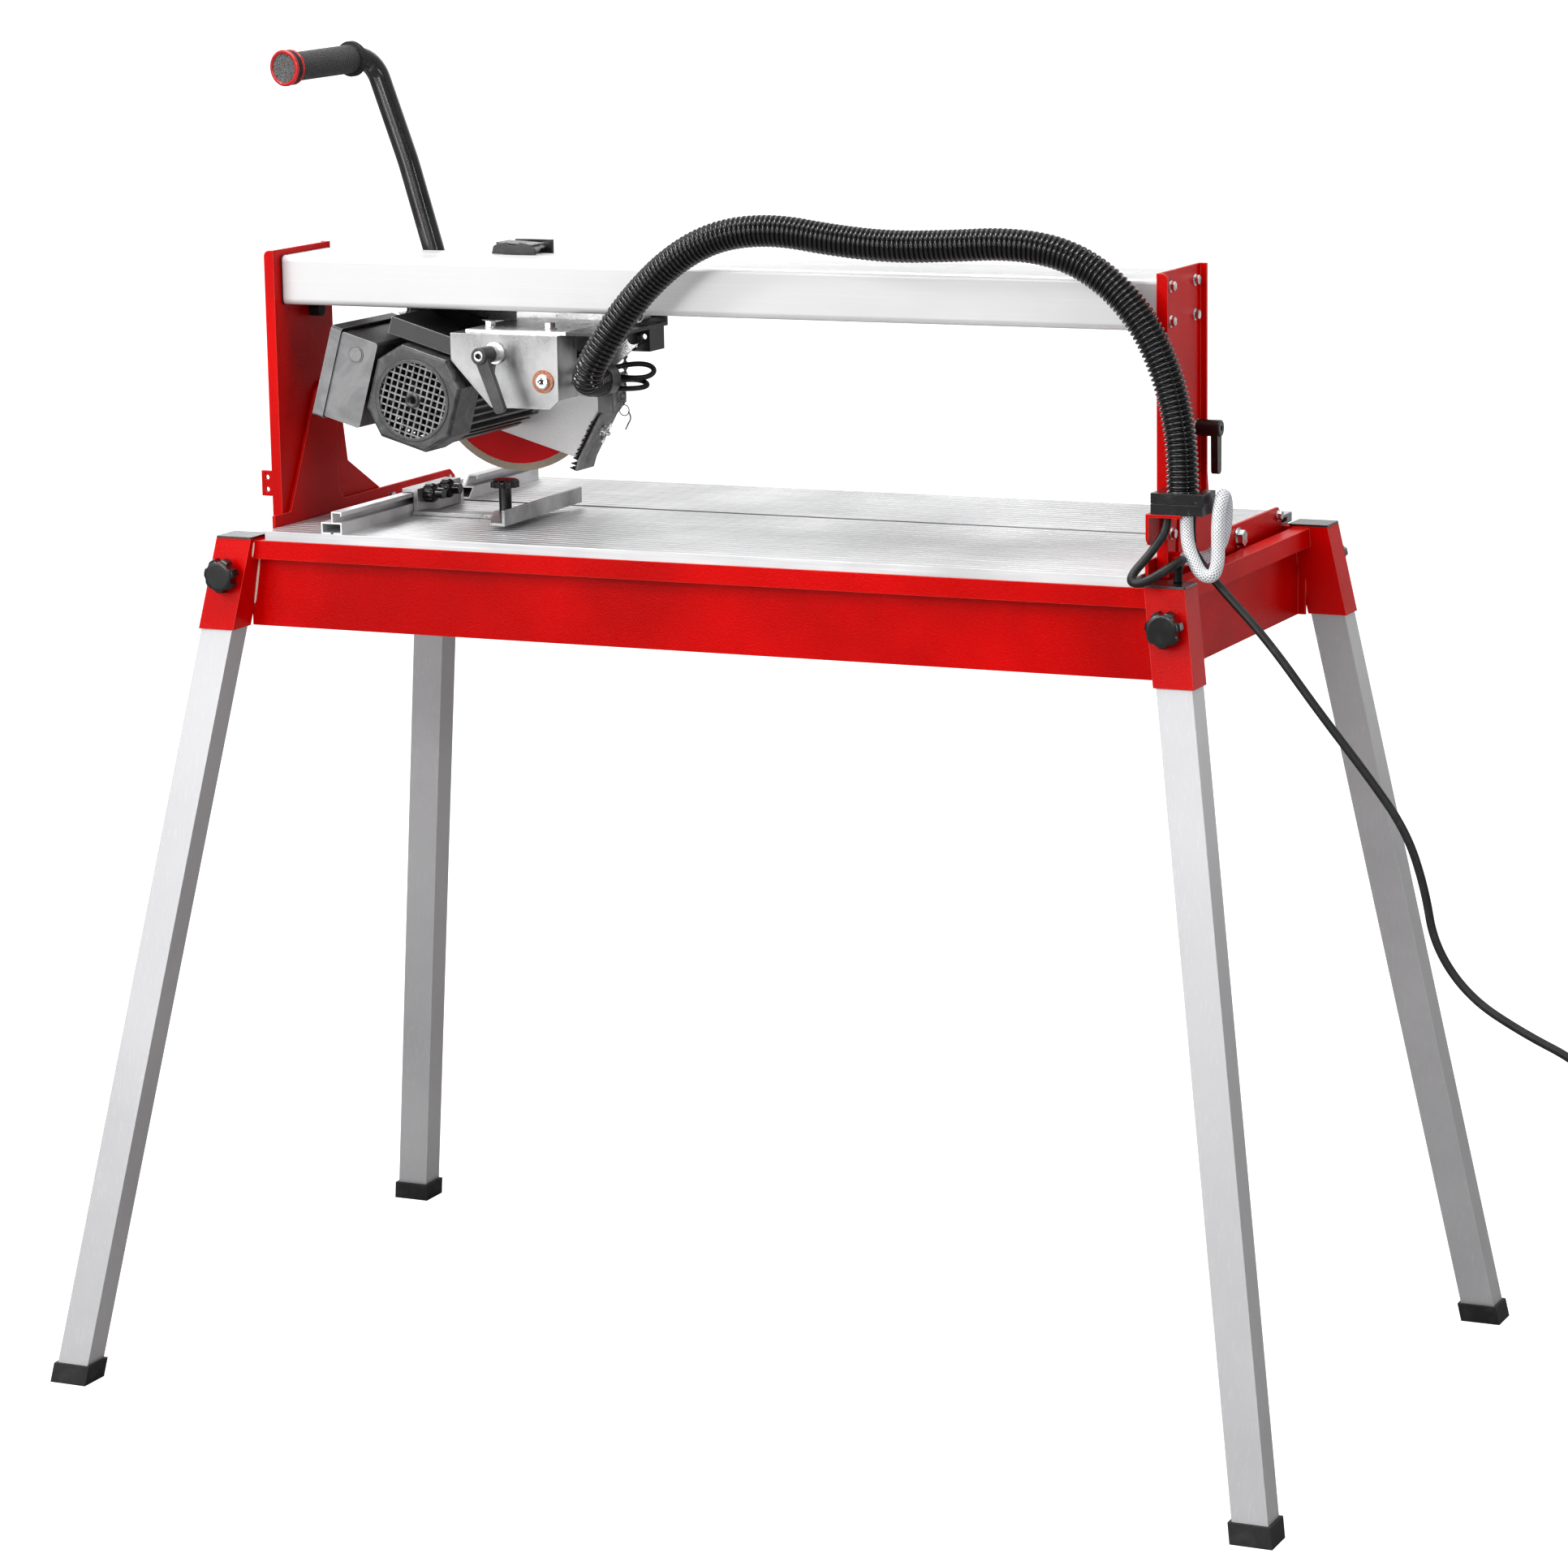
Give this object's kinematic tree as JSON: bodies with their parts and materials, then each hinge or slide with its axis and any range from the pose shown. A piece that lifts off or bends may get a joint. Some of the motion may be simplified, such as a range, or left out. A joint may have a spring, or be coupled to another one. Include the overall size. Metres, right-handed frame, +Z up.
{
  "type": "wet tile saw",
  "caption": "Bridge-type wet tile saw: water tub on splayed legs, ribbed table, tilting rail with a rolling, plunging motor and diamond blade.",
  "frame": {"origin": "on the floor, in the middle between the four feet", "axes": "+X along the cut to the right, +Y away from the operator, +Z up"},
  "size_m": [1.7627, 0.7724, 1.3613],
  "materials": {
    "red_paint": "glossy powder coat with a fine orange-peel texture",
    "black_paint": "glossy black paint",
    "leg_steel": "brushed zinc-plated tube",
    "table_aluminium": "ribbed satin aluminium extrusion",
    "rail_aluminium": "drawn satin aluminium box extrusion",
    "bracket_zinc": "bright zinc plate",
    "fastener_steel": "zinc-plated fasteners",
    "roller_steel": "ground roller steel",
    "black_plastic": "black glass-filled nylon",
    "black_rubber": "moulded black rubber",
    "motor_paint": "semi-gloss dark grey paint",
    "cover_plastic": "semi-gloss dark moulded plastic",
    "start_green": "glossy moulded button",
    "stop_red": "glossy moulded button",
    "guard_white": "light satin paint",
    "blade_steel": "lacquered steel core with a sintered diamond rim",
    "conduit_plastic": "glossy corrugated conduit",
    "hose_clear": "clear braided hose",
    "cord_rubber": "black rubber cord"
  },
  "bodies": {
    "base": {"tub_frame": "red_paint", "end_plates": "red_paint", "legs": "leg_steel", "leg_boots": "black_rubber", "socket_caps": "black_plastic", "table_front": "table_aluminium", "table_rear": "table_aluminium", "fence_front": "table_aluminium", "fence_rear": "table_aluminium", "tilt_hardware": "fastener_steel", "water_pump": "black_plastic", "drain_plug": "black_plastic", "mains_cord": "cord_rubber", "mains_cord_coil": "cord_rubber", "mains_plug": "black_plastic", "pump_cable": "cord_rubber"},
    "bridge": {"post_left": "red_paint", "post_right": "red_paint", "rail": "rail_aluminium", "rail_rubbers": "black_rubber", "rail_bolts": "fastener_steel", "conduit_clamp": "black_plastic", "conduit": "conduit_plastic", "water_hose": "hose_clear"},
    "carriage": {"carriage": "black_paint", "carriage_fasteners": "fastener_steel", "handle_tube": "black_paint", "handle_grip": "black_rubber", "pivot_bracket": "bracket_zinc", "conduit_fitting": "bracket_zinc", "end_bracket": "black_paint"},
    "head": {"motor_arm": "bracket_zinc", "motor_housing": "motor_paint", "fan_cover": "cover_plastic", "switch_box": "cover_plastic", "switch_lid": "cover_plastic", "blade_guard": "guard_white", "splash_guard": "guard_white", "motor_bearings": "roller_steel"},
    "spindle": {"blade": "blade_steel", "blade_clamp": "roller_steel", "rotor": "roller_steel"},
    "plunge_lever": {"plunge_lever": "black_plastic"},
    "start_button": {"start_button": "start_green"},
    "stop_button": {"stop_button": "stop_red"},
    "tilt_lever_left": {"tilt_lever_left": "black_plastic"},
    "tilt_lever_right": {"tilt_lever_right": "black_plastic"},
    "guide": {"guide_slider": "bracket_zinc"},
    "guide_knob_front": {"guide_knob_front": "black_plastic"},
    "guide_knob_rear": {"guide_knob_rear": "black_plastic"},
    "mitre_arm": {"mitre_arm": "bracket_zinc"},
    "thumb_screw": {"thumb_screw": "black_plastic"},
    "roller_upper_left": {"roller_upper_left": "roller_steel"},
    "roller_upper_right": {"roller_upper_right": "roller_steel"},
    "roller_lower_left": {"roller_lower_left": "roller_steel"},
    "roller_lower_right": {"roller_lower_right": "roller_steel"},
    "leg_knob_front_left": {"leg_knob_front_left": "black_plastic"},
    "leg_knob_front_right": {"leg_knob_front_right": "black_plastic"},
    "leg_knob_rear_left": {"leg_knob_rear_left": "black_plastic"},
    "leg_knob_rear_right": {"leg_knob_rear_right": "black_plastic"}
  },
  "joints": [
    {"name": "bridge_tilt", "type": "hinge", "parent": "base", "child": "bridge", "pos_m": [0, 0.046, 0.876], "axis": [-1, 0, 0], "range_deg": [0, 45], "deforming": ["pump_cable", "mains_cord"]},
    {"name": "carriage_slide", "type": "slide", "parent": "bridge", "child": "carriage", "axis": [1, 0, 0], "range_m": [-0.03, 0.515], "deforming": ["conduit"]},
    {"name": "roller_upper_left_spin", "type": "hinge", "parent": "carriage", "child": "roller_upper_left", "pos_m": [-0.255, -0.077, 1.1555], "axis": [0, 1, 0], "range_deg": [-318, 5370]},
    {"name": "roller_upper_right_spin", "type": "hinge", "parent": "carriage", "child": "roller_upper_right", "pos_m": [-0.231, -0.077, 1.1555], "axis": [0, 1, 0], "range_deg": [-318, 5370]},
    {"name": "roller_lower_left_spin", "type": "hinge", "parent": "carriage", "child": "roller_lower_left", "pos_m": [-0.376, -0.077, 1.092], "axis": [0, 1, 0], "range_deg": [-3694, 220]},
    {"name": "roller_lower_right_spin", "type": "hinge", "parent": "carriage", "child": "roller_lower_right", "pos_m": [-0.11, -0.077, 1.092], "axis": [0, 1, 0], "range_deg": [-3694, 220]},
    {"name": "head_plunge", "type": "hinge", "parent": "carriage", "child": "head", "pos_m": [-0.17241, -0.11, 1.03283], "axis": [0, -1, 0], "range_deg": [0, 18]},
    {"name": "spindle_spin", "type": "hinge", "parent": "head", "child": "spindle", "pos_m": [-0.317, 0, 1.01], "axis": [0, 1, 0], "continuous": true},
    {"name": "plunge_lever_turn", "type": "hinge", "parent": "head", "child": "plunge_lever", "pos_m": [-0.22506, -0.19, 1.05999], "axis": [0, -1, 0], "range_deg": [0, 60]},
    {"name": "start_press", "type": "slide", "parent": "head", "child": "start_button", "axis": [0.9613, 0, -0.2756], "range_m": [0, 0.003], "stiffness_N_per_m": 500},
    {"name": "stop_press", "type": "slide", "parent": "head", "child": "stop_button", "axis": [0.9613, 0, -0.2756], "range_m": [0, 0.003], "stiffness_N_per_m": 500},
    {"name": "tilt_lever_right_turn", "type": "hinge", "parent": "base", "child": "tilt_lever_right", "pos_m": [0.49, -0.075, 1], "axis": [1, 0, 0], "range_deg": [0, 60]},
    {"name": "tilt_lever_left_turn", "type": "hinge", "parent": "base", "child": "tilt_lever_left", "pos_m": [-0.49, -0.075, 1], "axis": [1, 0, 0], "range_deg": [0, 60]},
    {"name": "leg_knob_front_left_turn", "type": "hinge", "parent": "base", "child": "leg_knob_front_left", "pos_m": [-0.50884, -0.23628, 0.832], "axis": [0, -1, 0], "range_deg": [-180, 180]},
    {"name": "leg_knob_front_right_turn", "type": "hinge", "parent": "base", "child": "leg_knob_front_right", "pos_m": [0.50884, -0.23628, 0.832], "axis": [0, -1, 0], "range_deg": [-180, 180]},
    {"name": "leg_knob_rear_left_turn", "type": "hinge", "parent": "base", "child": "leg_knob_rear_left", "pos_m": [-0.50884, 0.23628, 0.832], "axis": [0, 1, 0], "range_deg": [-180, 180]},
    {"name": "leg_knob_rear_right_turn", "type": "hinge", "parent": "base", "child": "leg_knob_rear_right", "pos_m": [0.50884, 0.23628, 0.832], "axis": [0, 1, 0], "range_deg": [-180, 180]},
    {"name": "guide_slide", "type": "slide", "parent": "base", "child": "guide", "axis": [0, -1, 0], "range_m": [0, 0.1]},
    {"name": "guide_knob_front_turn", "type": "hinge", "parent": "guide", "child": "guide_knob_front", "pos_m": [-0.37, -0.05, 0.897], "axis": [1, 0, 0], "range_deg": [-180, 180]},
    {"name": "guide_knob_rear_turn", "type": "hinge", "parent": "guide", "child": "guide_knob_rear", "pos_m": [-0.37, -0.014, 0.897], "axis": [1, 0, 0], "range_deg": [-180, 180]},
    {"name": "mitre_swing", "type": "hinge", "parent": "guide", "child": "mitre_arm", "pos_m": [-0.276, -0.064, 0.885], "axis": [0, 0, -1], "range_deg": [0, 45]},
    {"name": "thumb_screw_turn", "type": "hinge", "parent": "guide", "child": "thumb_screw", "pos_m": [-0.276, -0.064, 0.9], "axis": [0, 0, 1], "range_deg": [-180, 180]}
  ],
  "couplings": [
    {"joint": "roller_upper_left_spin", "follows": "carriage_slide", "rad_per_m": 181.82},
    {"joint": "roller_upper_right_spin", "follows": "carriage_slide", "rad_per_m": 181.82},
    {"joint": "roller_lower_left_spin", "follows": "carriage_slide", "rad_per_m": -125},
    {"joint": "roller_lower_right_spin", "follows": "carriage_slide", "rad_per_m": -125}
  ]
}
